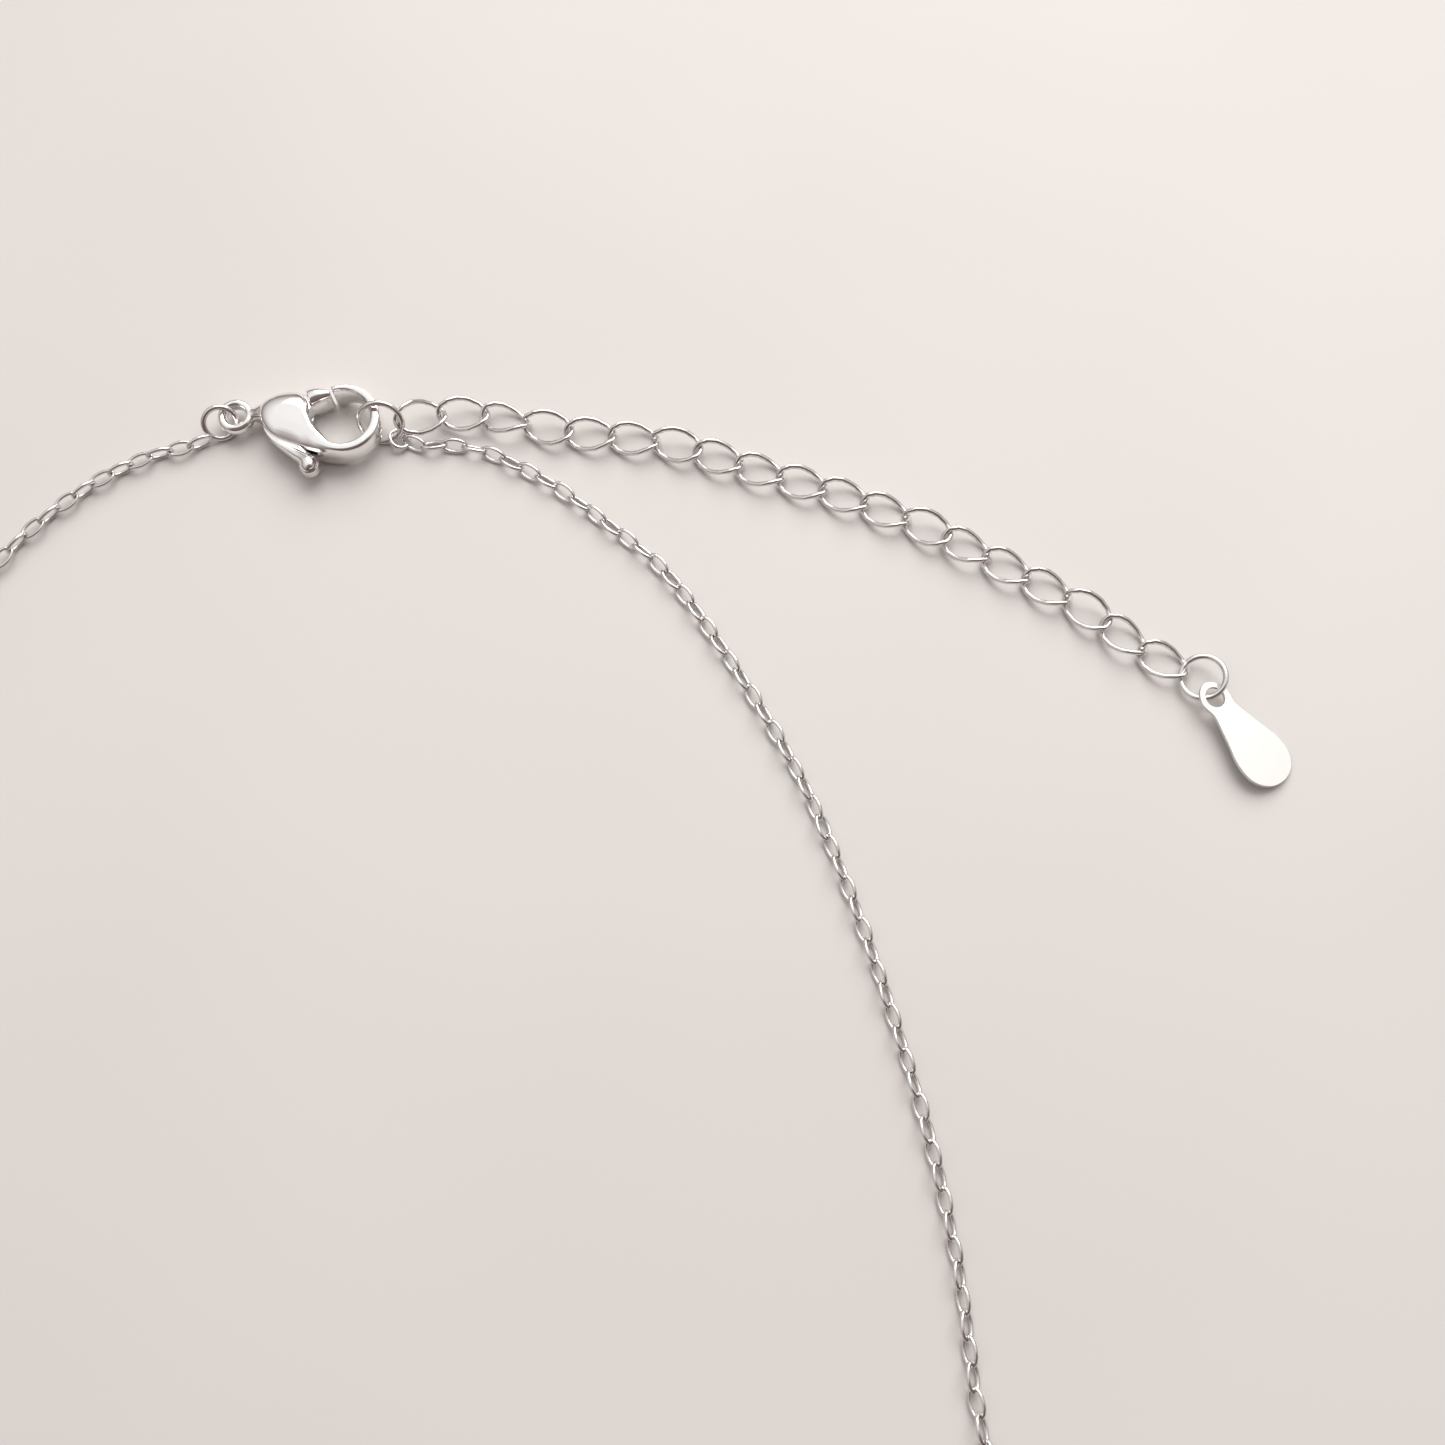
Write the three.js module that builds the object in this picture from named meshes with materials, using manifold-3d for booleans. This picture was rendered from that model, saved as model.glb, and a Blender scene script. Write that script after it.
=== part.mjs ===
// The clasp end of a fine silver necklace, laid out flat: a closed lobster clasp, the loop of fine
// cable chain that it closes, and a five centimetre extender of curb links with a teardrop tag.
// Millimetres, +Z up. The flat back of the clasp lies on z = 0 around the origin, +X runs along
// the clasp from its eye to its hook.

import * as THREE from "three";
import { mergeVertices } from "three/addons/utils/BufferGeometryUtils.js";
import Module from "manifold-3d";

const wasm = await Module();
wasm.setup();

// ---- driving dimensions -------------------------------------------------------------------

const wire = 0.32; // of the extender's links
const ringWire = 0.34; // of the jump ring, the catch ring and the end ring
const chainWidth = 1.03; // across the fine cable chain

const claspHeight = 2.04;
const claspEdge = 0.16; // rounding of the clasp's rims
const wall = 0.53; // of the clasp's body above and below the lever's slot
const slack = 0.05; // between pieces that move on each other
const pivot = new THREE.Vector2(-0.5, 0.4); // of the lever
const pinRadius = 0.26;
const pinInset = 0.25; // of the pin's ends under the clasp's faces
const boreInset = 0.22;
const leverOpen = 15; // degrees
const gateRadius = 1.8; // from the pivot to the gate's heel

const hookInner = { x: 3.2, y: -0.35, r: 1.66 };
const hookOuter = { x: 3.32, y: -0.45, r: 2.34 };
const hookLift = 0.6; // how far the hook's far side stands off the table
const knob = { x: 1.36, y: -3.26, radius: 0.6, low: 0.42, high: 1.82, edge: 0.14 }; // for the thumb
const spring = { radius: 0.43, wire: 0.16, pitch: 0.13, seat: 0.56 };

const eye = { x: -3.39, y: 0.15, z: 0.87, ring: 0.84, halfWidth: 0.29, halfHeight: 0.4 };

const linkCount = 19;
const linkPitchSlack = 0.05; // play between one link and the next
const linkWidth = 2.2;
const curbTwist = 45; // degrees at each end of a link, one way and the other
const linkSquareness = 0.86; // below 1 a link's oval fills out towards a rounded oblong

// The extender's course: from where it hangs on the catch ring to the end ring.
const extenderCourse = [
  [6.56, -0.33, 1.46], [8.0, 0.18, 1.0], [10.4, 0.56, 0.62], [13.1, 0.1, 0.55], [15.4, -0.6, 0.55],
  [18.0, -0.85, 0.55], [20.8, -1.15, 0.55], [23.3, -1.62, 0.55], [28.4, -3.35, 0.55],
  [33.4, -4.95, 0.55], [38.3, -7.1, 0.55], [43.0, -9.65, 0.55], [47.4, -12.3, 0.55],
  [50.2, -14.6, 0.55], [52.68, -15.95, 0.5],
];

// How far each link has rolled about the chain, in degrees, from the clasp outwards.
const linkRoll = [20, 16, -14, 20, 8, 4, 21, 5, -4, 4, 2, 0, 19, -7, -2, -1, 19, -6, 0];

// The fine chain's course: off the small ring, down the table, round behind and back to the
// jump ring on the clasp's eye.
const chainHeight = 0.53;
const chainCourse = [
  [7.75, -1.5], [9.3, -1.5], [11.4, -1.85], [13.6, -2.85], [16.0, -4.25], [19.3, -6.8],
  [22.4, -9.5], [26.4, -15.2], [30.4, -22.3], [33.2, -29.3], [35.3, -35.9], [37.0, -42.2],
  [38.2, -48.5], [38.8, -54.5], [39.4, -61.0], [35.5, -67.3], [27.0, -70.2], [15.0, -70.2],
  [3.0, -71.0], [-7.0, -75.0], [-6.5, -83.3], [5.0, -86.6], [18.0, -86.2], [33.0, -86.4],
  [43.8, -89.0], [46.8, -94.8], [41.0, -100.4], [28.0, -102.2], [-1.5, -100.4], [-14.5, -96.4],
  [-24.4, -88.0], [-28.8, -75.0], [-29.0, -61.0], [-27.2, -46.0], [-24.8, -32.0], [-21.0, -18.5],
  [-16.6, -9.0], [-11.8, -4.2], [-8.2, -2.2], [-5.85, -1.52],
];
const chainSteps = 80;

const jumpRing = { centre: [-4.34, -0.25, 0.9], radius: 0.97, heading: 25, tilt: 48 };
const catchRing = { centre: [5.43, -0.42, 1.29], radius: 1.32, heading: -2, tilt: 57.5 };
const chainRing = { centre: [6.47, -1.08, 0.44], radius: 0.58, wire: 0.26 };
const endRing = { centre: [53.631, -16.408, 0.786], radius: 1.26, heading: -85.8, tilt: 17.1 };

const tag = {
  hole: [54.182, -17.664], heading: -54, roll: -11.8, pitch: 4.5, thickness: 0.2,
  holeRadius: 0.6, eyeletRadius: 1.0, tailRadius: 1.7, tailAt: 4.34,
};

// ---- finishes -----------------------------------------------------------------------------

function silver(colour, roughness) {
  return new THREE.MeshStandardMaterial({ color: colour, roughness, metalness: 1 });
}
const polished = silver(0xe6e4e2, 0.12);
const drawnWire = silver(0xdcd9d6, 0.2);
const pressedSheet = silver(0xeceae7, 0.38);
const springSteel = silver(0xa8a6a4, 0.35);

const necklace = new THREE.Group();

function place(name, geometry, material) {
  const mesh = new THREE.Mesh(geometry, material);
  mesh.name = name;
  necklace.add(mesh);
  return mesh;
}

// ---- solids for cutting and joining ---------------------------------------------------------

function toSolid(geometry) {
  const bare = geometry.clone();
  bare.deleteAttribute("normal");
  bare.deleteAttribute("uv");
  const merged = mergeVertices(bare, 1e-5);
  const corners = merged.index.array;
  const kept = []; // triangles that merging has not closed up, as it does at a lathe's poles
  for (let i = 0; i < corners.length; i += 3) {
    const [a, b, c] = corners.slice(i, i + 3);
    if (a !== b && b !== c && c !== a) kept.push(a, b, c);
  }
  return new wasm.Manifold(
    new wasm.Mesh({
      numProp: 3,
      vertProperties: new Float32Array(merged.attributes.position.array),
      triVerts: new Uint32Array(kept),
    }),
  );
}

function toGeometry(solid) {
  const mesh = solid.getMesh();
  const geometry = new THREE.BufferGeometry();
  geometry.setAttribute("position", new THREE.BufferAttribute(mesh.vertProperties, 3));
  geometry.setIndex(new THREE.BufferAttribute(mesh.triVerts, 1));
  return geometry;
}

function plate(shape, low, high, edge = 0, curveSegments = 8) {
  const geometry = new THREE.ExtrudeGeometry(shape, {
    depth: high - low - 2 * edge,
    bevelEnabled: edge > 0,
    bevelThickness: edge,
    bevelSize: edge,
    bevelOffset: -edge,
    bevelSegments: 2,
    curveSegments,
  });
  return geometry.translate(0, 0, low + edge);
}

function upright(radius, low, high, x, y, sides = 20) {
  const geometry = new THREE.CylinderGeometry(radius, radius, high - low, sides);
  return geometry.rotateX(Math.PI / 2).translate(x, y, (low + high) / 2);
}

// A short upright post with chamfered ends.
function roundTab(radius, low, high, edge) {
  const profile = [
    [0, low], [radius - edge, low], [radius, low + edge], [radius, high - edge],
    [radius - edge, high], [0, high],
  ].map(([r, z]) => new THREE.Vector2(r, z));
  return new THREE.LatheGeometry(profile, 22).rotateX(Math.PI / 2);
}

// ---- wire bent into rings and links ---------------------------------------------------------

// A torus whose rings of vertices are moved onto a closed centreline. The section at each place
// is square to the line, with its first direction pointing out of the ring.
function bentWire(diameter, centreline, steps, sides = 8) {
  const geometry = new THREE.TorusGeometry(1, 0.1, sides, steps);
  const position = geometry.attributes.position;
  const [before, after, here] = [new THREE.Vector3(), new THREE.Vector3(), new THREE.Vector3()];
  const [along, out, up] = [new THREE.Vector3(), new THREE.Vector3(), new THREE.Vector3()];
  for (let step = 0; step <= steps; step++) {
    const turn = ((step % steps) / steps) * 2 * Math.PI;
    centreline(turn, here, up);
    centreline(turn - 0.01, before, out);
    centreline(turn + 0.01, after, out);
    along.subVectors(after, before).normalize();
    centreline(turn, here, up);
    out.crossVectors(along, up).normalize();
    up.crossVectors(out, along);
    for (let side = 0; side <= sides; side++) {
      const angle = ((side % sides) / sides) * 2 * Math.PI;
      const vertex = here.clone();
      vertex.addScaledVector(out, (Math.cos(angle) * diameter) / 2);
      vertex.addScaledVector(up, (Math.sin(angle) * diameter) / 2);
      position.setXYZ(side * (steps + 1) + step, vertex.x, vertex.y, vertex.z);
    }
  }
  geometry.deleteAttribute("normal");
  geometry.deleteAttribute("uv");
  return mergeVertices(geometry, 1e-5);
}

function roundLine(radius) {
  return (turn, point, up) => {
    point.set(radius * Math.cos(turn), radius * Math.sin(turn), 0);
    up.set(0, 0, 1);
  };
}

// A ring leans about the level line at its heading: tilt raises the side to that line's left.
function leaningRing({ centre, radius, heading, tilt }, diameter) {
  const geometry = bentWire(diameter, roundLine(radius), 32);
  geometry.rotateX(THREE.MathUtils.degToRad(tilt));
  geometry.rotateZ(THREE.MathUtils.degToRad(heading));
  return geometry.translate(...centre);
}

// An oval link with its two ends twisted opposite ways, so that a row of them lies flat.
function curbLink(length, width, roll) {
  const [halfLength, halfWidth] = [(length - wire) / 2, (width - wire) / 2];
  const line = (turn, point, up) => {
    const [c, s] = [Math.cos(turn), Math.sin(turn)];
    const x = halfLength * Math.sign(c) * Math.abs(c) ** linkSquareness;
    const aside = halfWidth * Math.sign(s) * Math.abs(s) ** linkSquareness;
    const twist = THREE.MathUtils.degToRad(roll + (curbTwist * x) / halfLength);
    point.set(x, aside * Math.cos(twist), aside * Math.sin(twist));
    up.set(0, -Math.sin(twist), Math.cos(twist));
  };
  return bentWire(wire, line, 20);
}

// ---- clasp ----------------------------------------------------------------------------------

function onCircle({ x, y, r }, degrees) {
  const angle = THREE.MathUtils.degToRad(degrees);
  return new THREE.Vector2(x + r * Math.cos(angle), y + r * Math.sin(angle));
}

function arc(shape, { x, y, r }, from, to) {
  const [a, b] = [THREE.MathUtils.degToRad(from), THREE.MathUtils.degToRad(to)];
  shape.absarc(x, y, r, a, b, to < from);
}

const heelArc = { x: pivot.x, y: pivot.y, r: gateRadius - 0.1 };

function claspOutline() {
  const outline = new THREE.Shape();
  outline.moveTo(-1.98, 0.68);
  outline.lineTo(-1.98, -0.05);
  outline.bezierCurveTo(-1.75, -0.75, -1.45, -1.35, -0.82, -1.62);
  outline.bezierCurveTo(0.0, -1.95, 1.0, -2.2, 1.7, -2.62);
  arc(outline, hookOuter, -104, 114);
  arc(outline, hookInner, 111, -115);
  outline.bezierCurveTo(2.2, -1.2, 1.35, -0.6, onCircle(heelArc, -15).x, onCircle(heelArc, -15).y);
  arc(outline, heelArc, -15, 42);
  outline.bezierCurveTo(0.1, 1.72, -1.0, 1.62, -1.98, 0.68);
  return outline;
}

function leverWeb(grow) {
  const web = new THREE.Shape();
  web.moveTo(1.32 + grow, 0.45 - grow);
  web.lineTo(0.95, 0.1 - grow);
  web.quadraticCurveTo(0.42 + grow, -0.3, 0.42 + grow, -1.1);
  web.quadraticCurveTo(0.5 + grow, -1.9, 1.5 + grow, -2.75);
  web.lineTo(1.1 - grow, -3.3 - grow);
  web.quadraticCurveTo(0.4, -2.6 - grow, -0.5, -2.02 - grow);
  web.quadraticCurveTo(-1.45 - grow, -1.4, -1.62 - grow, -0.6);
  web.quadraticCurveTo(-1.5, 0.2, -1.28 - grow, 0.5);
  web.quadraticCurveTo(-1.1, 1.13 + grow, -0.5, 1.13 + grow);
  web.lineTo(0.2, 1.12 + grow);
  web.lineTo(1.0 + grow, 1.4 + grow);
  web.closePath();
  return web;
}

function makeClaspBody() {
  let body = toSolid(plate(claspOutline(), 0, claspHeight, claspEdge));

  const ring = new THREE.TorusGeometry(eye.ring, eye.halfWidth, 10, 28);
  ring.scale(1, 1, eye.halfHeight / eye.halfWidth).translate(eye.x, eye.y, eye.z);
  const neck = new THREE.CylinderGeometry(0.36, 0.3, 0.95, 12).rotateZ(-Math.PI / 2);
  body = body.add(toSolid(ring)).add(toSolid(neck.translate(-2.12, 0.3, eye.z + 0.03)));

  for (let degrees = -1; degrees <= leverOpen + 1; degrees += 4) {
    const path = plate(leverWeb(slack), wall, claspHeight - wall, 0, 3);
    path.translate(-pivot.x, -pivot.y, 0).rotateZ(THREE.MathUtils.degToRad(-degrees));
    body = body.subtract(toSolid(path.translate(pivot.x, pivot.y, 0)));
  }
  const bore = upright(
    pinRadius + slack / 2, boreInset, claspHeight - boreInset, pivot.x, pivot.y,
  );
  body = body.subtract(toSolid(bore));

  // The hook's far side rises off the table, where the catch ring passes under it.
  const relief = new THREE.Shape();
  relief.moveTo(2.9, -1);
  relief.lineTo(2.9, 0);
  relief.lineTo(4.3, hookLift);
  relief.lineTo(7, hookLift);
  relief.lineTo(7, -1);
  relief.closePath();
  const wedge = new THREE.ExtrudeGeometry(relief, { depth: 8, bevelEnabled: false });
  return toGeometry(body.subtract(toSolid(wedge.rotateX(Math.PI / 2).translate(0, 4, 0))));
}

function makeLever() {
  const low = wall + slack;
  const high = claspHeight - wall - slack;
  const web = toSolid(plate(leverWeb(0), low, high, 0, 6));

  const gate = new THREE.Shape();
  arc(gate, { ...heelArc, r: gateRadius }, 3, 39.5);
  gate.quadraticCurveTo(1.7, 1.78, 2.26, 1.5);
  gate.quadraticCurveTo(2.44, 1.3, 2.4, 1.1);
  gate.lineTo(2.25, 0.88);
  const bill = toSolid(plate(gate, 0.1, claspHeight - 0.1, 0.08, 4));

  const post = roundTab(knob.radius, knob.low, knob.high, knob.edge).translate(knob.x, knob.y, 0);

  const bore = upright(pinRadius + slack, 0, claspHeight, pivot.x, pivot.y);
  const seatTop = low + 2 * spring.pitch;
  const springSeat = upright(spring.seat, 0, seatTop, pivot.x, pivot.y);
  const lever = web.add(bill).add(toSolid(post));
  return toGeometry(lever.subtract(toSolid(bore)).subtract(toSolid(springSeat)));
}

function makeSpring() {
  // two turns of a torsion spring round the pin, in the recess under the lever
  const coil = new THREE.TorusGeometry(spring.radius, spring.wire / 2, 6, 16);
  const second = coil.clone().translate(0, 0, spring.pitch);
  const turns = toSolid(coil).add(toSolid(second));
  return toGeometry(turns).translate(pivot.x, pivot.y, wall + slack + 0.05);
}

place("clasp_body", makeClaspBody(), polished);
place("clasp_lever", makeLever(), polished);
const pin = upright(pinRadius, pinInset, claspHeight - pinInset, pivot.x, pivot.y);
place("lever_pin", pin, springSteel);
place("lever_spring", makeSpring(), springSteel);

// ---- rings ----------------------------------------------------------------------------------

place("jump_ring", leaningRing(jumpRing, ringWire), drawnWire);
place("catch_ring", leaningRing(catchRing, ringWire), drawnWire);
place("end_ring", leaningRing(endRing, ringWire), drawnWire);

const smallRing = bentWire(chainRing.wire, roundLine(chainRing.radius), 24);
smallRing.rotateY(THREE.MathUtils.degToRad(24));
place("chain_ring", smallRing.translate(...chainRing.centre), drawnWire);

// ---- extender -------------------------------------------------------------------------------

const course = new THREE.CatmullRomCurve3(extenderCourse.map((p) => new THREE.Vector3(...p)));
course.arcLengthDivisions = 2000;
const contacts = course.getSpacedPoints(linkCount);
const xAxis = new THREE.Vector3(1, 0, 0);

for (let i = 0; i < linkCount; i++) {
  const [from, to] = [contacts[i], contacts[i + 1]];
  const pitch = from.distanceTo(to);
  const geometry = curbLink(pitch + 2 * wire + linkPitchSlack, linkWidth, linkRoll[i]);
  const heading = Math.atan2(to.y - from.y, to.x - from.x);
  geometry.rotateY(-Math.asin((to.z - from.z) / pitch));
  geometry.rotateZ(heading);
  geometry.translate((from.x + to.x) / 2, (from.y + to.y) / 2, 0);
  geometry.computeBoundingBox();
  const rest = i === 0 ? (from.z + to.z) / 2 : -geometry.boundingBox.min.z;
  geometry.translate(0, 0, rest);
  place(`extender_link_${String(i + 1).padStart(2, "0")}`, geometry, drawnWire);
}

// ---- tag ------------------------------------------------------------------------------------

function makeTag() {
  const { holeRadius, eyeletRadius, tailRadius, tailAt, thickness } = tag;
  const shape = new THREE.Shape();
  shape.absarc(0, 0, eyeletRadius, THREE.MathUtils.degToRad(48), THREE.MathUtils.degToRad(312), false);
  shape.quadraticCurveTo(0.82, -0.74, 1.1, -0.91);
  shape.absarc(tailAt, 0, tailRadius, THREE.MathUtils.degToRad(-104.6), THREE.MathUtils.degToRad(104.6), false);
  shape.lineTo(1.1, 0.91);
  shape.quadraticCurveTo(0.82, 0.74, shape.getPoint(0).x, shape.getPoint(0).y);
  const hole = new THREE.Path();
  hole.absarc(0, 0, holeRadius, 0, 2 * Math.PI, true);
  shape.holes.push(hole);
  const geometry = plate(shape, -thickness / 2, thickness / 2, 0.05, 9);
  geometry.rotateX(THREE.MathUtils.degToRad(tag.roll));
  geometry.rotateY(THREE.MathUtils.degToRad(tag.pitch));
  geometry.rotateZ(THREE.MathUtils.degToRad(tag.heading));
  geometry.computeBoundingBox();
  return geometry.translate(tag.hole[0], tag.hole[1], -geometry.boundingBox.min.z);
}

place("tag", makeTag(), pressedSheet);

// ---- fine chain -----------------------------------------------------------------------------

function makeChain() {
  const line = new THREE.CatmullRomCurve3(
    chainCourse.map(([x, y]) => new THREE.Vector3(x, y, chainHeight)),
    false,
    "centripetal",
  );
  const section = new THREE.Shape();
  section.absarc(0, 0, chainWidth / 2, 0, 2 * Math.PI, false);
  return new THREE.ExtrudeGeometry(section, { steps: chainSteps, curveSegments: 4, extrudePath: line });
}

place("fine_chain", makeChain(), drawnWire);

export default necklace;
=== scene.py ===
import math
import random

import bmesh
import bpy
import numpy as np
from mathutils import Matrix, Vector


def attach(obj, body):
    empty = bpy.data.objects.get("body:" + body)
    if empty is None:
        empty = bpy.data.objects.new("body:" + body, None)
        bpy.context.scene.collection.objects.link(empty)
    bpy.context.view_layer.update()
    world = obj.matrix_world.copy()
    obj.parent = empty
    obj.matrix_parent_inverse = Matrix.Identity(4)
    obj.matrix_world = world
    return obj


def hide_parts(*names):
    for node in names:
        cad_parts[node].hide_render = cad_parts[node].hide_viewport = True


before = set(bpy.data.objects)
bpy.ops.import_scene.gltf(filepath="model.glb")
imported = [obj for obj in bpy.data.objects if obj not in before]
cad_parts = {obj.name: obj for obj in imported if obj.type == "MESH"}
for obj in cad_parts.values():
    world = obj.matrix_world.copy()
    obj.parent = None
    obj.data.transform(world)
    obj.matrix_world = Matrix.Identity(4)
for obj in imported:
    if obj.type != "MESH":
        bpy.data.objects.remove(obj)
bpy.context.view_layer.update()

# ---- camera -------------------------------------------------------------------------------
# A hand-held camera about nine centimetres over the table, tipped seventeen degrees forwards.
# It looks at the clasp end of the necklace, and the rest of the chain runs out of its view.
mm = 0.001
bpy.ops.object.camera_add(
    location=(26.0 * mm, -45.8 * mm, 88.0 * mm), rotation=(math.radians(17), 0, 0)
)
camera = bpy.context.object
camera.data.sensor_width = 36
camera.data.lens = 39.86
camera.data.clip_start = 1 * mm
bpy.context.scene.camera = camera


# ---- silver ---------------------------------------------------------------------------------
# Every piece is sterling silver with a thin bright rhodium plating over it. The castings are
# tumbled and polished, the wire is drawn, and the tag is pressed from sheet and left satin.
class Value:
    """An output of a shader node. Arithmetic on it adds Math nodes to the same tree."""

    def __init__(self, tree, socket=None):
        self.tree = tree
        self.socket = socket

    def node(self, kind, settings, inputs, output=0):
        added = self.tree.nodes.new(kind)
        for name, setting in settings.items():
            if name == "stops":
                for element, (place, colour) in zip(added.color_ramp.elements, setting):
                    element.position = place
                    element.color = colour
            else:
                setattr(added, name, setting)
        for name, given in inputs.items():
            if isinstance(given, Value):
                self.tree.links.new(given.socket, added.inputs[name])
            else:
                added.inputs[name].default_value = given
        return Value(self.tree, added.outputs[output] if added.outputs else None)

    def maths(self, operation, first, second):
        return self.node("ShaderNodeMath", {"operation": operation}, {0: first, 1: second})

    def __add__(self, other):
        return self.maths("ADD", self, other)

    def __sub__(self, other):
        return self.maths("SUBTRACT", self, other)

    def __rsub__(self, other):
        return self.maths("SUBTRACT", other, self)

    def __mul__(self, other):
        return self.maths("MULTIPLY", self, other)

    __radd__ = __add__
    __rmul__ = __mul__


def silver(name, bright, dull, roughness, haze, scratch_depth, grain=(1, 1, 1)):
    """Plated silver: a soft cloudiness in colour and gloss, and fine scratches in its relief."""
    clouds, hairs, pinholes = 900, 9000, 3500  # how many to the metre
    material = bpy.data.materials.new(name)
    material.use_nodes = True
    material.node_tree.nodes.clear()
    start = Value(material.node_tree)
    place = start.node("ShaderNodeTexCoord", {}, {}, "Object")
    cloud = start.node(
        "ShaderNodeTexNoise", {}, {"Vector": place, "Scale": clouds, "Detail": 3, "Roughness": 0.6}
    )
    drawn = start.node("ShaderNodeMapping", {}, {"Vector": place, "Scale": grain})
    hair = start.node(
        "ShaderNodeTexNoise", {}, {"Vector": drawn, "Scale": hairs, "Detail": 4, "Roughness": 0.7}
    )
    pits = start.node("ShaderNodeTexVoronoi", {}, {"Vector": place, "Scale": pinholes}, "Distance")
    tint = start.node(
        "ShaderNodeMix",
        {"data_type": "RGBA"},
        {0: cloud * 0.8 + hair * 0.2, 6: (*dull, 1), 7: (*bright, 1)},
        2,
    )
    relief = start.node(
        "ShaderNodeBump", {}, {"Distance": scratch_depth, "Height": hair + pits * 0.35}
    )
    shader = start.node(
        "ShaderNodeBsdfPrincipled",
        {},
        {
            "Base Color": tint,
            "Metallic": 1.0,
            "Roughness": (cloud - 0.5) * haze + (hair - 0.5) * haze + roughness,
            "Normal": relief,
        },
    )
    start.node("ShaderNodeOutputMaterial", {}, {"Surface": shader})
    return material


polished_silver = silver(
    "polished silver", bright=(0.95, 0.94, 0.93), dull=(0.88, 0.865, 0.855),
    roughness=0.1, haze=0.09, scratch_depth=0.4e-6,
)
# The wire's colour is set darker than the polished castings', a painted shade; its rougher gloss
# and deeper scratches are the drawn finish.
wire_silver_with_painted_shade = silver(
    "drawn silver wire, darkened as painted shade", bright=(0.84, 0.825, 0.815), dull=(0.7, 0.68, 0.67),
    roughness=0.16, haze=0.12, scratch_depth=0.8e-6,
)


# ---- fine chain -----------------------------------------------------------------------------
# A cable chain of small oval links of quarter-millimetre silver wire, each soldered shut round
# the next one. It leaves the small ring on the clasp's hook, lies loose on the table and
# comes back to the jump ring on the clasp's eye.
chain_width = 1.03 * mm
chain_wire = 0.235 * mm
link_length = 1.7 * mm
link_pitch = 1.236 * mm
chain_height = 0.53 * mm  # of its middle line, off the table
leaning_height = 0.43 * mm
leaning_links = 90  # these lean to one side and the other by turns, at the clasp's end
settling_links = 150  # over these the links settle, until they lie flat and stand by turns
roll_play, heading_play = 9, 3  # degrees that a link is off its even lie
chain_course = [
    (7.75, -1.5), (9.3, -1.5), (11.4, -1.85), (13.6, -2.85), (16.0, -4.25), (19.3, -6.8),
    (22.4, -9.5), (26.4, -15.2), (30.4, -22.3), (33.2, -29.3), (35.3, -35.9), (37.0, -42.2),
    (38.2, -48.5), (38.8, -54.5), (39.4, -61.0), (35.5, -67.3), (27.0, -70.2), (15.0, -70.2),
    (3.0, -71.0), (-7.0, -75.0), (-6.5, -83.3), (5.0, -86.6), (18.0, -86.2), (33.0, -86.4),
    (43.8, -89.0), (46.8, -94.8), (41.0, -100.4), (28.0, -102.2), (-1.5, -100.4), (-14.5, -96.4),
    (-24.4, -88.0), (-28.8, -75.0), (-29.0, -61.0), (-27.2, -46.0), (-24.8, -32.0), (-21.0, -18.5),
    (-16.6, -9.0), (-11.8, -4.2), (-8.2, -2.2), (-5.85, -1.52),
]


def smooth_course(corners, steps=24):
    """A centripetal Catmull-Rom curve through the corners, as a list of close points."""
    first, last = corners[0] * 2 - corners[1], corners[-1] * 2 - corners[-2]
    padded = [first, *corners, last]
    points = [corners[0]]
    for a, b, c, d in zip(padded, padded[1:], padded[2:], padded[3:]):
        knots = [0.0]
        for p, q in ((a, b), (b, c), (c, d)):
            knots.append(knots[-1] + math.sqrt((q - p).length))
        for step in range(1, steps + 1):
            t = knots[1] + (knots[2] - knots[1]) * step / steps
            level = [a, b, c, d]
            for spans in (((0, 1), (1, 2), (2, 3)), ((0, 2), (1, 3)), ((1, 2),)):
                level = [
                    level[i].lerp(level[i + 1], (t - knots[low]) / (knots[high] - knots[low]))
                    for i, (low, high) in enumerate(spans)
                ]
            points.append(level[0])
    return points


def even_places(points, spacing, start=0.0):
    """Places along a line of points at an even spacing, each with the line's direction there."""
    places = []
    walked, wanted = 0.0, start
    for p, q in zip(points, points[1:]):
        step = (q - p).length
        while wanted <= walked + step:
            places.append((p.lerp(q, (wanted - walked) / step), (q - p).normalized()))
            wanted += spacing
        walked += step
    return places


def oval_link(name, length, width, wire, around, across):
    """A ring of wire drawn out into an oval in a few steps, its long axis along X."""
    bpy.ops.object.select_all(action="DESELECT")
    radius = (width - wire) / 2
    bpy.ops.mesh.primitive_torus_add(
        major_radius=radius, minor_radius=wire / 2, major_segments=around, minor_segments=across
    )
    link = bpy.context.object
    link.name = name
    stretch = (length - width) / 2
    pulls = ((0.4, 0.05), (0.35, 0.45), (0.25, 0.8))  # share of the stretch, where it takes hold
    angles = [math.atan2(vertex.co.y, vertex.co.x) for vertex in link.data.vertices]
    for side in (-1, 1):
        for share, hold in pulls:
            bpy.ops.object.mode_set(mode="EDIT")
            bpy.ops.mesh.select_all(action="DESELECT")
            bpy.ops.object.mode_set(mode="OBJECT")
            for vertex, angle in zip(link.data.vertices, angles):
                vertex.select = math.cos(angle) * side > hold
            bpy.ops.object.mode_set(mode="EDIT")
            bpy.ops.transform.translate(value=(side * stretch * share, 0, 0))
            bpy.ops.object.mode_set(mode="OBJECT")
    return link


corners = [Vector((x * mm, y * mm, chain_height)) for x, y in chain_course]
course_line = smooth_course(corners)

ring_hold = Vector((6.92 * mm, -1.16 * mm, 0.4 * mm))  # where the first link takes its ring
eye_hold = Vector((-4.98 * mm, -1.0 * mm, 0.5 * mm))  # where the last one takes the jump ring
whole_line = smooth_course([ring_hold, *corners, eye_hold])

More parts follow.
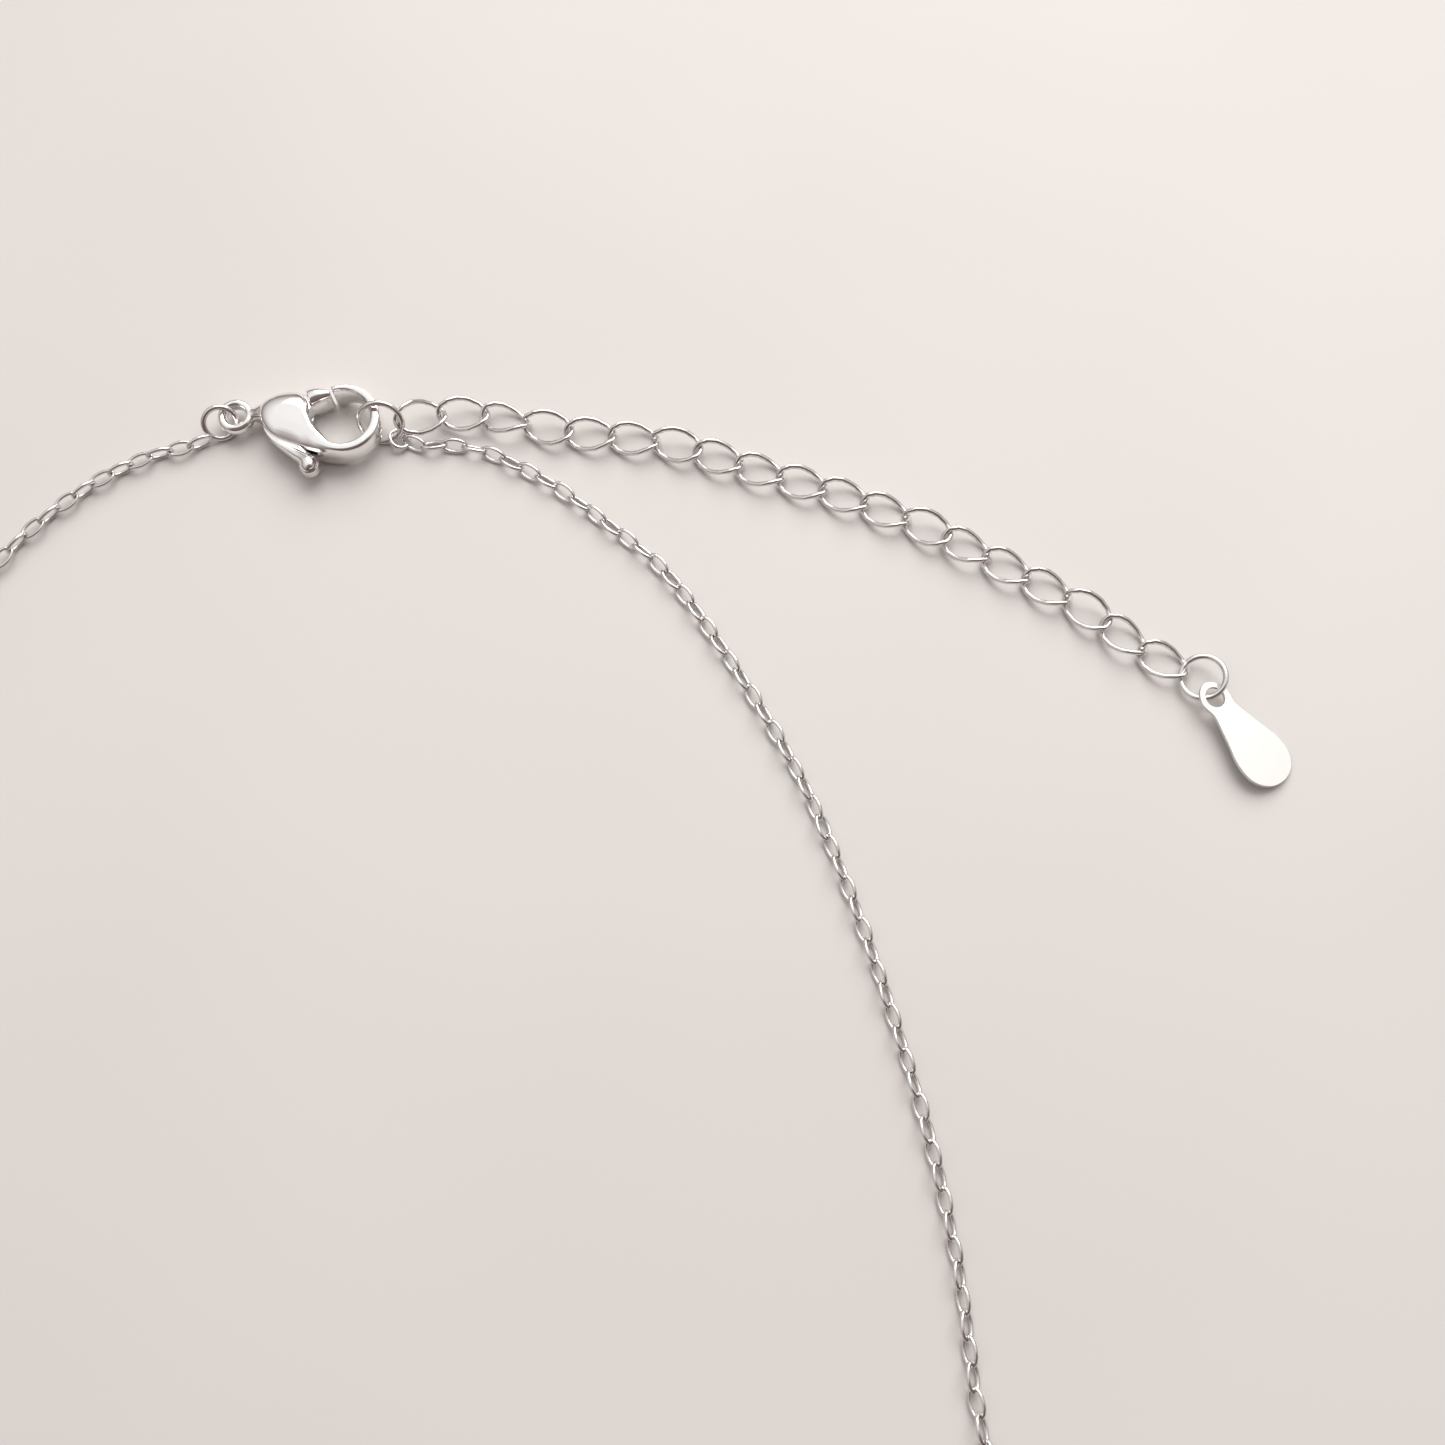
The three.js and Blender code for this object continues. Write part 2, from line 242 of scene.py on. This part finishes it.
rng = random.Random(5)
pattern_link = oval_link(
    "chain_link", link_length, chain_width, chain_wire, around=16, across=6
)
chain_mesh = bmesh.new()
hold_back = link_length / 2 - 1.5 * chain_wire
for count, (place, along) in enumerate(even_places(whole_line, link_pitch, hold_back)):
    settled = min(max((count - leaning_links) / settling_links, 0), 1)
    lean = 45 * (1 - settled) + 90 * (count % 2)
    roll = math.radians(lean + rng.uniform(-roll_play, roll_play))
    turned = math.radians(rng.uniform(-heading_play, heading_play))
    heading = math.atan2(along.y, along.x) + turned
    half_reach = (chain_width - chain_wire) / 2 * abs(math.sin(roll)) + chain_wire / 2
    place.z = max(half_reach, leaning_height + (chain_height - leaning_height) * settled)
    turn = Matrix.Rotation(heading, 4, "Z") @ Matrix.Rotation(roll, 4, "X")
    before = len(chain_mesh.verts)
    chain_mesh.from_mesh(pattern_link.data)
    chain_mesh.verts.ensure_lookup_table()
    for vertex in chain_mesh.verts[before:]:
        vertex.co = place + turn @ vertex.co
for face in chain_mesh.faces:
    face.smooth = True
fine_chain = bpy.data.objects.new("fine_chain_links", bpy.data.meshes.new("fine_chain_links"))
chain_mesh.to_mesh(fine_chain.data)
chain_mesh.free()
bpy.context.collection.objects.link(fine_chain)
bpy.data.objects.remove(pattern_link)
fine_chain.data.materials.append(wire_silver_with_painted_shade)
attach(fine_chain, "clasp")
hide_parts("fine_chain")


# ---- clasp body -----------------------------------------------------------------------------
# The lobster clasp's body is one silver casting: a domed shell with a slot for the lever, a
# hook that curls round to the gate, and an eye on a short neck. It is polished all over.
def loft(name, section, stations):
    """Extrudes a section from station to station: (x, y, low, angle across, width, height)."""
    bpy.ops.object.select_all(action="DESELECT")
    bpy.ops.mesh.primitive_circle_add(vertices=len(section), radius=1, fill_type="NGON")
    piece = bpy.context.object
    piece.name = name
    x, y, low, angle, width, height = stations[0]
    for vertex, (u, z) in zip(piece.data.vertices, section):
        side = Vector((math.cos(angle), math.sin(angle), 0)) * (u * width / 2)
        vertex.co = Vector((x, y, low + z * height)) + side
    bpy.ops.object.mode_set(mode="EDIT")
    bpy.ops.mesh.select_all(action="SELECT")
    for station in stations[1:]:
        x1, y1, low1, angle1, width1, height1 = station
        bpy.ops.mesh.extrude_region_move(
            TRANSFORM_OT_translate={"value": (x1 - x, y1 - y, low1 - low)}
        )
        here = (x1, y1, low1)
        bpy.ops.transform.rotate(value=angle, orient_axis="Z", center_override=here)
        bpy.ops.transform.resize(
            value=(width1 / width, 1, height1 / height), center_override=here
        )
        bpy.ops.transform.rotate(value=-angle1, orient_axis="Z", center_override=here)
        x, y, low, angle, width, height = station
    bpy.ops.mesh.select_all(action="SELECT")
    bpy.ops.mesh.normals_make_consistent(inside=False)
    bpy.ops.object.mode_set(mode="OBJECT")
    return piece


def take_up(piece):
    """Leaves this piece alone selected, and active, for the operators that follow."""
    bpy.ops.object.select_all(action="DESELECT")
    bpy.context.view_layer.objects.active = piece
    piece.select_set(True)


def apply_modifier(piece, kind, **settings):
    take_up(piece)
    modifier = piece.modifiers.new(kind.title(), kind)
    for name, setting in settings.items():
        setattr(modifier, name, setting)
    bpy.ops.object.modifier_apply(modifier=modifier.name)


def merged_copy(node, name):
    """A copy of a CAD solid with its loose triangles joined up."""
    piece = bpy.data.objects.new(name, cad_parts[node].data.copy())
    bpy.context.collection.objects.link(piece)
    take_up(piece)
    bpy.ops.object.mode_set(mode="EDIT")
    bpy.ops.mesh.select_all(action="SELECT")
    bpy.ops.mesh.remove_doubles(threshold=weld_reach)
    bpy.ops.object.mode_set(mode="OBJECT")
    piece.data.materials.clear()
    return piece


def stretch_upwards(centre, factor):
    """Puts a new primitive's place in its mesh, and draws it out along Z about its middle."""
    bpy.ops.object.transform_apply(location=True)
    bpy.ops.object.mode_set(mode="EDIT")
    bpy.ops.mesh.select_all(action="SELECT")
    bpy.ops.transform.resize(value=(1, 1, factor), center_override=centre)
    bpy.ops.object.mode_set(mode="OBJECT")
    return bpy.context.object


def cast(piece, parts, grid, rounding, material):
    """Joins parts into one skin, rounds its edges as tumbling does, and gives it a finish."""
    take_up(piece)
    for part in parts:
        part.select_set(True)
    bpy.ops.object.join()
    apply_modifier(piece, "REMESH", mode="VOXEL", voxel_size=grid, use_smooth_shade=True)
    apply_modifier(piece, "SMOOTH", factor=0.5, iterations=rounding)
    bpy.ops.object.shade_smooth()
    piece.data.materials.clear()
    piece.data.materials.append(material)


def on_circle(x, y, radius, degrees):
    angle = math.radians(degrees)
    return Vector((x + radius * math.cos(angle), y + radius * math.sin(angle)))


def station(outer, inner, low, top):
    """A place in a loft, between a point on its outer edge and one on its inner edge, in mm."""
    across = outer - inner
    middle = (outer + inner) / 2
    return (
        middle.x * mm, middle.y * mm, low * mm,
        math.atan2(across.y, across.x), across.length * mm, (top - low) * mm,
    )


weld_reach = 1e-6
clasp_top = 2.08  # the crown of the dome, before the finish rounds it
hook_outer = (3.32, -0.45, 2.34)  # centre and radius of the hook's outer edge, and its inner
hook_inner = (3.2, -0.35, 1.66)
hook_steps = 20
close_to_tip = [0.985, 0.997, 1.0]  # shares of the way round
hook_lift = 0.6  # of the hook's underside, which rises over this stretch of X
lift_from, lift_run = 2.9, 1.4
domed = [
    (-0.88, -0.02), (0.88, -0.02), (1.04, 0.3), (1.0, 0.74),
    (0.62, 0.97), (0.0, 1.02), (-0.62, 0.97), (-1.0, 0.74), (-1.04, 0.3),
]
shell_edges = [  # outer edge, inner edge, underside and crown, from the neck to the hook
    ((-1.95, -0.08), (-1.95, 0.7), 0.3, 1.45), ((-1.72, -0.72), (-1.6, 1.04), 0.08, 1.82),
    ((-1.32, -1.28), (-1.05, 1.4), 0.0, 2.0), ((-0.8, -1.64), (-0.4, 1.6), 0.0, 2.06),
    ((0.0, -1.92), (0.22, 1.66), 0.0, clasp_top), ((0.72, -2.18), (0.8, 1.52), 0.0, clasp_top),
    ((1.2, -2.38), (1.16, 0.72), 0.0, clasp_top), ((1.62, -2.55), (1.24, -0.1), 0.0, clasp_top),
    ((2.0, -2.64), (1.62, -0.73), 0.0, clasp_top), ((2.38, -2.7), (2.11, -1.28), 0.0, clasp_top),
]
stations = [
    station(Vector(outer), Vector(inner), low, top) for outer, inner, low, top in shell_edges
]
for share in [step / hook_steps for step in range(hook_steps)] + close_to_tip:
    outer = on_circle(*hook_outer, -104 + 218 * share)
    inner = on_circle(*hook_inner, -115 + 226 * share)
    lift = min(max(((outer.x + inner.x) / 2 - lift_from) / lift_run, 0), 1) * hook_lift
    stations.append(station(outer, inner, lift, clasp_top))
clasp_body = loft("clasp_body_casting", domed, stations)
apply_modifier(clasp_body, "SUBSURF", levels=2, render_levels=2)

cutter = merged_copy("clasp_body", "clasp_cutter")
apply_modifier(clasp_body, "BOOLEAN", operation="INTERSECT", object=cutter, solver="EXACT")
bpy.data.objects.remove(cutter)

eye_centre = Vector((-3.39, 0.15, 0.87)) * mm
bpy.ops.object.select_all(action="DESELECT")
bpy.ops.mesh.primitive_torus_add(
    location=eye_centre, major_radius=0.84 * mm, minor_radius=0.3 * mm,
    major_segments=64, minor_segments=24,
)
eye = stretch_upwards(eye_centre, 1.35)

neck_line = 0.3 * mm
across_neck = math.pi / 2
neck_cuts = [  # x, underside, width and height, from the eye to the shell
    (-2.78, 0.5, 0.62, 0.72), (-2.5, 0.48, 0.64, 0.78), (-2.2, 0.42, 0.76, 0.98),
    (-1.95, 0.28, 0.98, 1.3), (-1.6, 0.2, 1.2, 1.5), (-1.3, 0.2, 1.2, 1.5),
]
neck = loft(
    "neck", domed,
    [
        (x * mm, neck_line, low * mm, across_neck, width * mm, height * mm)
        for x, low, width, height in neck_cuts
    ],
)
apply_modifier(neck, "SUBSURF", levels=2, render_levels=2)
cast(clasp_body, [eye, neck], grid=0.045 * mm, rounding=9, material=polished_silver)
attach(clasp_body, "clasp")
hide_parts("clasp_body")


# ---- clasp lever ----------------------------------------------------------------------------
# The lever is a second casting that turns on a pin inside the slot. One end is the gate that
# meets the hook's tip, and the other is an arm with a round knob for the thumb.
slot_top, slot_floor = 1.44 * mm, 0.6 * mm  # the lever is no thicker than this on its pin
lever = merged_copy("clasp_lever", "clasp_lever_casting")
bpy.ops.object.mode_set(mode="EDIT")
for height, normal in ((slot_top, (0, 0, 1)), (slot_floor, (0, 0, -1))):
    bpy.ops.mesh.select_all(action="SELECT")
    bpy.ops.mesh.bisect(
        plane_co=(0, 0, height), plane_no=normal, use_fill=True, clear_outer=True
    )
bpy.ops.object.mode_set(mode="OBJECT")

gate_edges = [  # upper edge, lower edge, underside and crown, from the heel to the tip
    ((0.82, 1.62), (1.28, 0.46), 0.1, 1.9), ((0.86, 1.64), (1.32, 0.47), 0.08, 1.94),
    ((1.16, 1.74), (1.56, 0.58), 0.06, 2.0), ((1.6, 1.78), (1.88, 0.7), 0.08, 1.99),
    ((2.02, 1.7), (2.2, 0.86), 0.12, 1.92), ((2.22, 1.66), (2.42, 0.98), 0.16, 1.88),
    ((2.29, 1.62), (2.51, 1.08), 0.2, 1.84),
]
gate = loft(
    "gate", domed,
    [station(Vector(upper), Vector(lower), low, top) for upper, lower, low, top in gate_edges],
)
apply_modifier(gate, "SUBSURF", levels=3, render_levels=3)

arm_edges = [  # upper edge, lower edge, underside and crown, from the slot to the knob
    ((-1.2, -0.8), (-1.56, -0.95), 0.6, 1.42), ((-0.75, -1.5), (-1.02, -1.72), 0.6, 1.44),
    ((0.05, -1.88), (-0.16, -2.36), 0.58, 1.5), ((0.76, -2.26), (0.38, -2.8), 0.56, 1.58),
    ((1.26, -2.56), (0.72, -3.06), 0.48, 1.7), ((1.68, -2.82), (0.86, -3.36), 0.4, 1.84),
    ((1.9, -3.16), (1.06, -3.64), 0.4, 1.84), ((1.78, -3.6), (1.42, -3.8), 0.5, 1.7),
]
arm = loft(
    "arm", domed,
    [station(Vector(upper), Vector(lower), low, top) for upper, lower, low, top in arm_edges],
)
apply_modifier(arm, "SUBSURF", levels=3, render_levels=3)

knob_centre = Vector((1.36, -3.26, 1.13)) * mm
bpy.ops.object.select_all(action="DESELECT")
bpy.ops.mesh.primitive_uv_sphere_add(
    location=knob_centre, radius=0.6 * mm, segments=32, ring_count=20
)
knob = stretch_upwards(knob_centre, 1.15)
cast(lever, [gate, arm, knob], grid=0.034 * mm, rounding=8, material=polished_silver)
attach(lever, "lever")
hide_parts("clasp_lever")


# ---- pin and spring -------------------------------------------------------------------------
# A steel pin holds the lever in the body, and a small torsion spring round it shuts the gate.
# Both are hidden in the slot, and keep the plain look of drawn spring steel.
spring_steel = silver(
    "spring steel", bright=(0.62, 0.61, 0.6), dull=(0.5, 0.49, 0.48),
    roughness=0.32, haze=0.1, scratch_depth=1.2e-6, grain=(1, 1, 6),
)
for node in ("lever_pin", "lever_spring"):
    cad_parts[node].data.materials.clear()
    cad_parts[node].data.materials.append(spring_steel)


# ---- rings ----------------------------------------------------------------------------------
# Round rings of drawn silver wire, bent shut so that the wire's ends butt against each other.
# One joins the chain to the eye, one is the hook's catch, and a small one starts the chain.
def lie_of(node):
    """Where a CAD solid lies: its middle, its longest, middle and thinnest ways, its sizes."""
    places = np.array([vertex.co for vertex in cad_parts[node].data.vertices])
    spread, ways = np.linalg.eigh(np.cov(np.unique(places.round(8), axis=0).T))
    ways = [Vector(way) for way in ways.T[::-1]]
    reach = [(min(places @ way), max(places @ way)) for way in ways]
    middle = sum((way * (low + high) / 2 for way, (low, high) in zip(ways, reach)), Vector())
    return middle, ways, [high - low for low, high in reach]


def put(piece, middle, long_way, flat_way):
    """Lays a piece that was modelled at the origin along its CAD solid, in its own mesh."""
    across = flat_way.cross(long_way).normalized()
    turn = Matrix((long_way, across, flat_way)).transposed().to_4x4()
    piece.data.transform(Matrix.Translation(middle) @ turn)
    piece.data.update()


def butt_joint(piece, wire, gap, offset):
    """Draws in the wire where its two ends meet, on the side of the ring that faces +Y."""
    drawn_in = 0.88
    take_up(piece)
    for x in (-gap, 0, gap):
        bpy.ops.object.mode_set(mode="EDIT")
        bpy.ops.mesh.select_all(action="DESELECT")
        bpy.ops.object.mode_set(mode="OBJECT")
        for face in piece.data.polygons:
            face.select = face.center.y > 0 and abs(face.center.x) < 4 * wire
        bpy.ops.object.mode_set(mode="EDIT")
        bpy.ops.mesh.select_mode(type="FACE")
        bpy.ops.mesh.bisect(plane_co=(x, 0, 0), plane_no=(1, 0, 0))
        bpy.ops.mesh.select_mode(type="VERT")
        bpy.ops.object.mode_set(mode="OBJECT")
    for vertex in piece.data.vertices:
        vertex.select = vertex.co.y > 0 and abs(vertex.co.x) < gap / 4
    bpy.ops.object.mode_set(mode="EDIT")
    bpy.ops.transform.resize(value=(1, drawn_in, drawn_in), center_override=(0, offset, 0))
    bpy.ops.object.mode_set(mode="OBJECT")


joint_gap = 0.022 * mm
for node, wire_size in (
    ("jump_ring", 0.34), ("catch_ring", 0.34), ("end_ring", 0.34), ("chain_ring", 0.26)
):
    wire = wire_size * mm
    middle, ways, sizes = lie_of(node)
    radius = (sizes[0] - wire) / 2
    bpy.ops.object.select_all(action="DESELECT")
    bpy.ops.mesh.primitive_torus_add(
        major_radius=radius, minor_radius=wire / 2, major_segments=72, minor_segments=20
    )
    ring = bpy.context.object
    ring.name = f"{node}_wire"
    butt_joint(ring, wire, joint_gap, radius)
    flat_way = ways[2] if ways[2].z > 0 else -ways[2]
    put(ring, middle, flat_way.orthogonal().normalized(), flat_way)
    bpy.ops.object.shade_smooth()
    ring.data.materials.append(wire_silver_with_painted_shade)
    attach(ring, node)
    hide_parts(node)


# ---- extender links -------------------------------------------------------------------------
# Nineteen curb links: ovals of round silver wire, each bent shut, and twisted a quarter turn
# from end to end so that the row lies flat. Each one swings in the one before it.
link_wire = 0.32 * mm
link_width = 2.2 * mm
link_middle = 0.94 * mm  # from its long axis to the middle of its wire
side_cuts = (-0.28, 0.0, 0.28)  # along its straight sides, so that they can twist
for count in range(1, 20):
    node = f"extender_link_{count:02d}"
    middle, ways, sizes = lie_of(node)
    link = oval_link(f"{node}_wire", sizes[0], link_width, link_wire, around=32, across=16)
    bpy.ops.object.mode_set(mode="EDIT")
    for x in side_cuts:
        bpy.ops.mesh.select_all(action="SELECT")
        bpy.ops.mesh.bisect(plane_co=(x * mm, 0, 0), plane_no=(1, 0, 0))
    bpy.ops.object.mode_set(mode="OBJECT")
    butt_joint(link, link_wire, joint_gap, link_middle)
    apply_modifier(
        link, "SIMPLE_DEFORM", deform_method="TWIST", deform_axis="X", angle=math.radians(-90)
    )
    put(link, middle, ways[0], ways[2])
    bpy.ops.object.shade_smooth()
    link.data.materials.append(wire_silver_with_painted_shade)
    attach(link, f"link_{count:02d}")
    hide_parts(node)


# ---- tag ------------------------------------------------------------------------------------
# A teardrop pressed from thin silver sheet, with a round eyelet punched for the end ring. Its
# faces are satin and its cut edge is bright. It carries no mark.
# The sheet's colour is set darker than polished silver, a painted shade that dims the tag; its
# satin gloss and grain are the pressed finish.
satin_silver_with_painted_shade = silver(
    "satin silver sheet, darkened as painted shade", bright=(0.76, 0.76, 0.74), dull=(0.71, 0.705, 0.69),
    roughness=0.5, haze=0.1, scratch_depth=1.5e-6, grain=(1, 5, 1),
)
tag_thickness = 0.2
rim = 0.04  # how far the cut edge is rounded
hole = 0.6
hole_pull = 0.5523 * hole  # of a quarter circle's handles
eyelet_reach = 1.0  # from the hole's middle to the near end
tag_outline = [  # a point and the handle that leaves it, for one half of the outline
    ((-eyelet_reach, 0.0), (0.0, 0.54)), ((0.0, 0.99), (0.36, 0.0)), ((1.0, 0.87), (0.28, 0.06)),
    ((2.5, 1.28), (0.7, 0.19)), ((4.4, 1.7), (0.94, 0.0)), ((6.04, 0.0), (0.0, -0.96)),
]
bpy.ops.object.select_all(action="DESELECT")
bpy.ops.curve.primitive_bezier_circle_add(radius=1)
outline = bpy.context.object
drawing = outline.data
drawing.dimensions = "2D"
drawing.fill_mode = "BOTH"
drawing.resolution_u = 16
edge_line = drawing.splines[0]
lower_half = [((x, -y), (-dx, dy)) for (x, y), (dx, dy) in tag_outline[-2:0:-1]]
corner_list = tag_outline + lower_half
edge_line.bezier_points.add(len(corner_list) - len(edge_line.bezier_points))
hole_line = drawing.splines.new("BEZIER")
hole_line.bezier_points.add(3)
hole_line.use_cyclic_u = True
for point, ((x, y), (dx, dy)) in zip(edge_line.bezier_points, corner_list):
    point.handle_left_type = point.handle_right_type = "FREE"
    point.co = (x * mm, y * mm, 0)
    point.handle_right = ((x + dx) * mm, (y + dy) * mm, 0)
    point.handle_left = ((x - dx) * mm, (y - dy) * mm, 0)
for quarter, point in enumerate(hole_line.bezier_points):
    c, s = math.cos(quarter * math.pi / 2), math.sin(quarter * math.pi / 2)
    point.handle_left_type = point.handle_right_type = "FREE"
    point.co = (hole * c * mm, hole * s * mm, 0)
    point.handle_right = ((hole * c - hole_pull * s) * mm, (hole * s + hole_pull * c) * mm, 0)
    point.handle_left = ((hole * c + hole_pull * s) * mm, (hole * s - hole_pull * c) * mm, 0)
drawing.extrude = (tag_thickness / 2 - rim) * mm
drawing.bevel_depth = rim * mm
drawing.offset = -rim * mm
drawing.bevel_resolution = 2
bpy.ops.object.convert(target="MESH")
tag = bpy.context.object
tag.name = "tag_sheet"
bpy.ops.object.mode_set(mode="EDIT")
bpy.ops.mesh.select_all(action="SELECT")
bpy.ops.mesh.remove_doubles(threshold=weld_reach)
bpy.ops.mesh.normals_make_consistent(inside=False)
bpy.ops.object.mode_set(mode="OBJECT")
middle, ways, sizes = lie_of("tag")
ring_middle = lie_of("end_ring")[0]
long_way = ways[0] if (middle - ring_middle).dot(ways[0]) > 0 else -ways[0]
flat_way = ways[2] if ways[2].z > 0 else -ways[2]
put(tag, middle - long_way * (sizes[0] / 2 - eyelet_reach * mm), long_way, flat_way)
bpy.ops.object.shade_smooth_by_angle(angle=math.radians(10))
tag.data.materials.clear()
tag.data.materials.append(satin_silver_with_painted_shade)
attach(tag, "tag")
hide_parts("tag")


# ---- table and light ------------------------------------------------------------------------
# A plain pale table top under soft daylight, from a wide window beyond its far edge and from
# the bright room. The polished silver mirrors a darker, warmer side, where someone stands.
bpy.ops.object.select_all(action="DESELECT")
bpy.ops.mesh.primitive_plane_add(size=1.6, location=(0, 0, 0))
table = bpy.context.object
table.name = "table"
table_material = bpy.data.materials.new("pale table")
table_material.use_nodes = True
table_material.node_tree.nodes.clear()
start = Value(table_material.node_tree)
place = start.node("ShaderNodeTexCoord", {}, {}, "Object")
shading = start.node("ShaderNodeTexNoise", {}, {"Vector": place, "Scale": 22, "Detail": 2})
tint = start.node(
    "ShaderNodeMix",
    {"data_type": "RGBA"},
    {0: shading, 6: (0.66, 0.625, 0.605, 1), 7: (0.74, 0.715, 0.695, 1)},
    2,
)
shader = start.node("ShaderNodeBsdfPrincipled", {}, {"Base Color": tint, "Roughness": 0.45})
start.node("ShaderNodeOutputMaterial", {}, {"Surface": shader})
table.data.materials.append(table_material)

world = bpy.data.worlds.new("room")
bpy.context.scene.world = world
world.use_nodes = True
world.node_tree.nodes.clear()
start = Value(world.node_tree)
way = start.node("ShaderNodeTexCoord", {}, {}, "Generated")
height = start.node("ShaderNodeSeparateXYZ", {}, {0: way}, "Z")
room = start.node(
    "ShaderNodeValToRGB",
    {"stops": [(0.1, (0.16, 0.125, 0.115, 1)), (0.8, (0.66, 0.65, 0.64, 1))]},
    {0: height},
)
near_side = Vector((0.2, -0.8, 0.56)).normalized()
near_colour = (0.08, 0.048, 0.042, 1)
towards = start.node(
    "ShaderNodeVectorMath", {"operation": "DOT_PRODUCT"}, {0: way, 1: near_side}, "Value"
)
shade = start.node(
    "ShaderNodeValToRGB", {"stops": [(0.5, (0, 0, 0, 1)), (0.78, (1, 1, 1, 1))]}, {0: towards}
)
room = start.node(
    "ShaderNodeMix", {"data_type": "RGBA"}, {0: shade * 0.9, 6: room, 7: near_colour}, 2
)
light = start.node("ShaderNodeBackground", {}, {"Color": room, "Strength": 1.45})
start.node("ShaderNodeOutputWorld", {}, {"Surface": light})

bpy.ops.object.light_add(type="AREA", location=(0.16, 0.46, 0.48))
window = bpy.context.object
window.rotation_euler = (-window.location).to_track_quat("-Z", "Y").to_euler()
window.data.shape = "ELLIPSE"
window.data.size = 0.8
window.data.size_y = 0.7
window.data.energy = 4.4
window.data.color = (1.0, 0.985, 0.965)
bpy.context.scene.view_settings.view_transform = "Standard"
